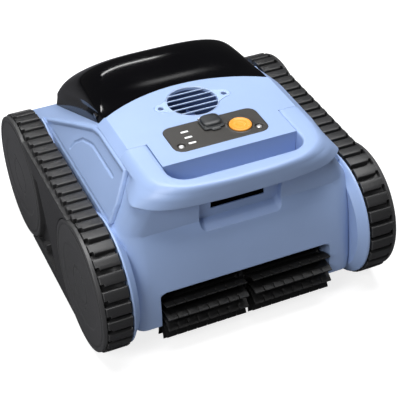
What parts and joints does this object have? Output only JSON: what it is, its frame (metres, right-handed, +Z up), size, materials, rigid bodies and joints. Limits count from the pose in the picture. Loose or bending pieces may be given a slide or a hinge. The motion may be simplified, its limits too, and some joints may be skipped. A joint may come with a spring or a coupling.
{
  "type": "pool cleaner",
  "caption": "Cordless tracked pool-cleaning robot with two rubber belts, a front roller brush, a hinged filter lid, a carry handle and a top outlet grille.",
  "frame": {"origin": "centre of the footprint on the floor the tracks stand on", "axes": "+Z up, -Y towards the brush and carry handle, +X to the right as seen from the front"},
  "size_m": [0.4, 0.4169, 0.251],
  "materials": {
    "blue_casing": "satin, lightly textured moulding",
    "pale_blue_trim": "satin",
    "smoked_lid": "high gloss",
    "track_rubber": "matt",
    "dark_plastic": "fine matt texture",
    "panel_plastic": "matt",
    "orange_plastic": "satin",
    "white_lens": "clear white",
    "steel": "bright",
    "navy_plastic": "matt",
    "battery_wrap": "satin",
    "board_case": "satin",
    "basket_plastic": "translucent grey"
  },
  "bodies": {
    "chassis": {"battery_pack": "battery_wrap", "brush_drive_belt_left": "track_rubber", "brush_drive_belt_right": "track_rubber", "brush_hanger": "dark_plastic", "carry_handle": "blue_casing", "charge_light_1": "white_lens", "charge_light_2": "white_lens", "charge_light_3": "white_lens", "charging_socket": "dark_plastic", "control_board_case": "board_case", "control_panel": "panel_plastic", "drive_motor_left": "steel", "drive_motor_right": "steel", "filter_basket": "basket_plastic", "grille_screw_left": "steel", "grille_screw_right": "steel", "inlet_duct": "dark_plastic", "inlet_flap_pin": "steel", "inlet_nozzle": "track_rubber", "lid_hinge_pin_left": "steel", "lid_hinge_pin_right": "steel", "lid_seal": "track_rubber", "lower_shell": "dark_plastic", "outlet_duct": "navy_plastic", "outlet_grille": "pale_blue_trim", "panel_screw_left": "steel", "panel_screw_right": "steel", "port_cap_pin": "steel", "pump_motor": "steel", "side_cover_left": "dark_plastic", "side_cover_right": "dark_plastic", "side_fender_left": "blue_casing", "side_fender_right": "blue_casing", "track_left": "track_rubber", "track_right": "track_rubber", "upper_shell": "blue_casing"},
    "lid": {"lid_cover": "smoked_lid", "lid_catch_left": "smoked_lid", "lid_catch_right": "smoked_lid"},
    "power_button": {"power_button": "orange_plastic"},
    "port_cap": {"port_cap": "track_rubber"},
    "impeller": {"impeller": "dark_plastic"},
    "inlet_flap": {"inlet_flap": "track_rubber"},
    "front_left_wheel": {"wheel_front_left": "dark_plastic", "wheel_cap_front_left": "dark_plastic", "axle_front_left": "steel"},
    "front_right_wheel": {"wheel_front_right": "dark_plastic", "wheel_cap_front_right": "dark_plastic", "axle_front_right": "steel"},
    "rear_left_wheel": {"wheel_rear_left": "dark_plastic", "wheel_cap_rear_left": "dark_plastic", "axle_rear_left": "steel"},
    "rear_right_wheel": {"wheel_rear_right": "dark_plastic", "wheel_cap_rear_right": "dark_plastic", "axle_rear_right": "steel"},
    "left_brush": {"brush_core_left": "dark_plastic", "brush_sleeve_left": "track_rubber"},
    "right_brush": {"brush_core_right": "dark_plastic", "brush_sleeve_right": "track_rubber"}
  },
  "joints": [
    {"name": "lid_hinge", "type": "hinge", "parent": "chassis", "child": "lid", "pos_m": [0, 0.1975, 0.1295], "axis": [-1, 0, 0], "range_deg": [0, 75]},
    {"name": "power_button_press", "type": "slide", "parent": "chassis", "child": "power_button", "axis": [0, 0, -1], "range_m": [0, 0.0015], "stiffness_N_per_m": 900},
    {"name": "port_cap_hinge", "type": "hinge", "parent": "chassis", "child": "port_cap", "pos_m": [0, -0.0605, 0.2422], "axis": [-1, 0, 0], "range_deg": [0, 100]},
    {"name": "impeller_spin", "type": "hinge", "parent": "chassis", "child": "impeller", "pos_m": [0, -0.016, 0.205], "axis": [0, 0, 1], "continuous": true},
    {"name": "inlet_flap_hinge", "type": "hinge", "parent": "chassis", "child": "inlet_flap", "pos_m": [0, 0.093, 0.0769], "axis": [-1, 0, 0], "range_deg": [0, 60]},
    {"name": "rear_left_wheel_spin", "type": "hinge", "parent": "chassis", "child": "rear_left_wheel", "pos_m": [-0.179, 0.1216, 0.0869], "axis": [1, 0, 0], "continuous": true},
    {"name": "front_left_wheel_spin", "type": "hinge", "parent": "chassis", "child": "front_left_wheel", "pos_m": [-0.179, -0.1216, 0.0869], "axis": [1, 0, 0], "continuous": true},
    {"name": "left_brush_spin", "type": "hinge", "parent": "chassis", "child": "left_brush", "pos_m": [-0.06, -0.152, 0.05], "axis": [1, 0, 0], "continuous": true},
    {"name": "rear_right_wheel_spin", "type": "hinge", "parent": "chassis", "child": "rear_right_wheel", "pos_m": [0.179, 0.1216, 0.0869], "axis": [1, 0, 0], "continuous": true},
    {"name": "front_right_wheel_spin", "type": "hinge", "parent": "chassis", "child": "front_right_wheel", "pos_m": [0.179, -0.1216, 0.0869], "axis": [1, 0, 0], "continuous": true},
    {"name": "right_brush_spin", "type": "hinge", "parent": "chassis", "child": "right_brush", "pos_m": [0.06, -0.152, 0.05], "axis": [1, 0, 0], "continuous": true}
  ],
  "couplings": [
    {"joint": "front_left_wheel_spin", "follows": "rear_left_wheel_spin", "ratio": 1},
    {"joint": "left_brush_spin", "follows": "rear_left_wheel_spin", "ratio": 1.3333},
    {"joint": "front_right_wheel_spin", "follows": "rear_right_wheel_spin", "ratio": 1},
    {"joint": "right_brush_spin", "follows": "rear_right_wheel_spin", "ratio": 1.3333}
  ]
}
